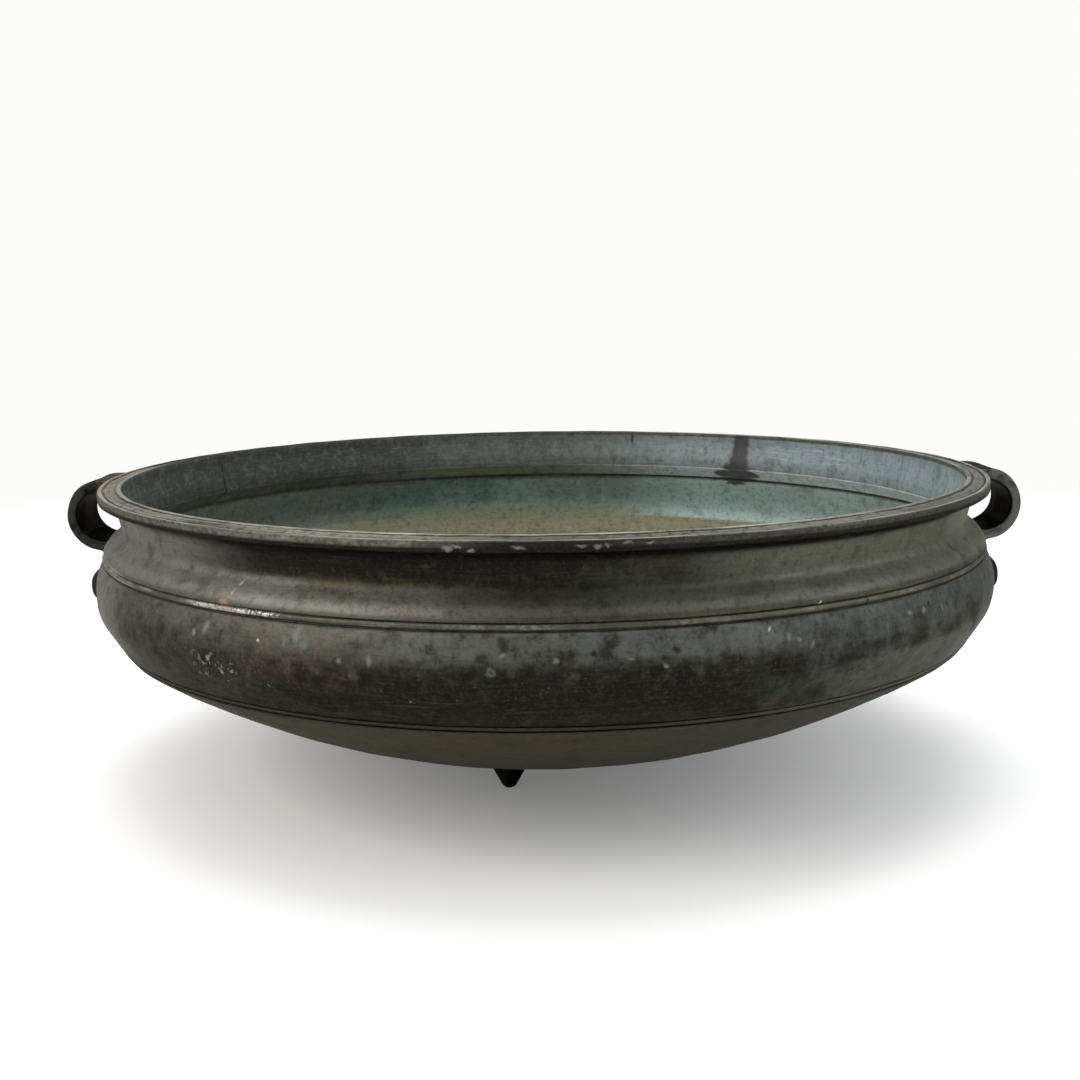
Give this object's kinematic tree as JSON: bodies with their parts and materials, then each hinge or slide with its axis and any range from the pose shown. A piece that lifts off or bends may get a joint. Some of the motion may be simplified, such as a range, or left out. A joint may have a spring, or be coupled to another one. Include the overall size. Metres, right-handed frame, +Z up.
{
  "type": "uruli bowl",
  "caption": "Wide shallow cast bronze cooking vessel with a flanged rim, waisted neck, moulded bands, strap handles with tails and stub feet.",
  "frame": {"origin": "on the ground under the vessel's axis, at the centre of the bottom of its bounding box", "axes": "+Z up along the vessel's axis, +X through a handle, -Y the side that the picture shows"},
  "size_m": [0.9924, 0.914, 0.3],
  "materials": {
    "cast_bronze": "aged cast bronze with a dark brown and grey-green patina"
  },
  "bodies": {
    "root": {"bowl": "cast_bronze"}
  },
  "joints": []
}
